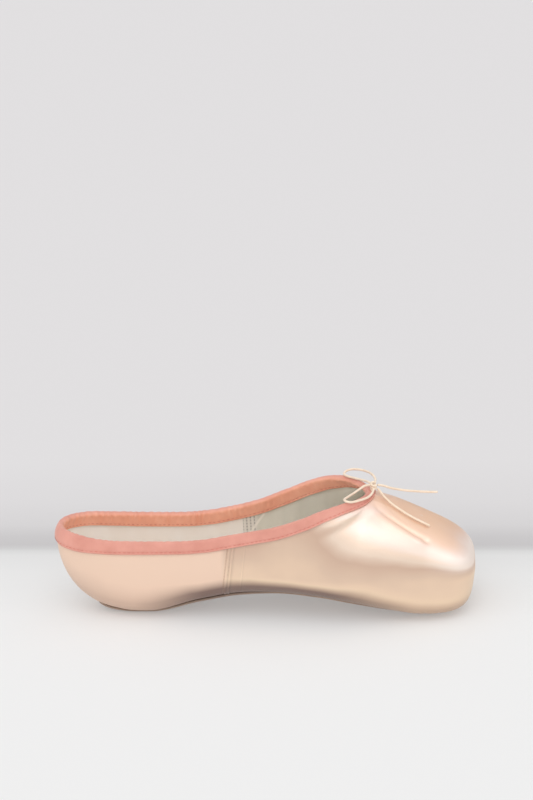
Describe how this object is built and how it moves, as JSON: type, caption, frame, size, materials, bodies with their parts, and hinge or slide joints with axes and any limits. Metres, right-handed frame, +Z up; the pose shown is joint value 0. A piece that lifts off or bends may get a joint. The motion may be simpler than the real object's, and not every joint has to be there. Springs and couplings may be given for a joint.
{
  "type": "pointe shoe",
  "caption": "Pale satin pointe shoe with a rose collar binding, a thin leather sole and a cord bow at the throat.",
  "frame": {"origin": "on the floor, under the middle of the shoe's length", "axes": "+X from heel to toe, +Y to the wearer's left when the toe points away, +Z up"},
  "size_m": [0.2412, 0.0744, 0.0739],
  "materials": {
    "satin": "satin",
    "sole_leather": "matte",
    "lining": "matte",
    "binding": "matte",
    "drawstring": "matte"
  },
  "bodies": {
    "root": {"upper": "satin", "outsole": "sole_leather", "insole": "lining", "collar_binding": "binding", "drawstring_knot": "drawstring", "drawstring_loop_near": "drawstring", "drawstring_loop_far": "drawstring", "drawstring_end_near": "drawstring", "drawstring_end_far": "drawstring"}
  },
  "joints": []
}
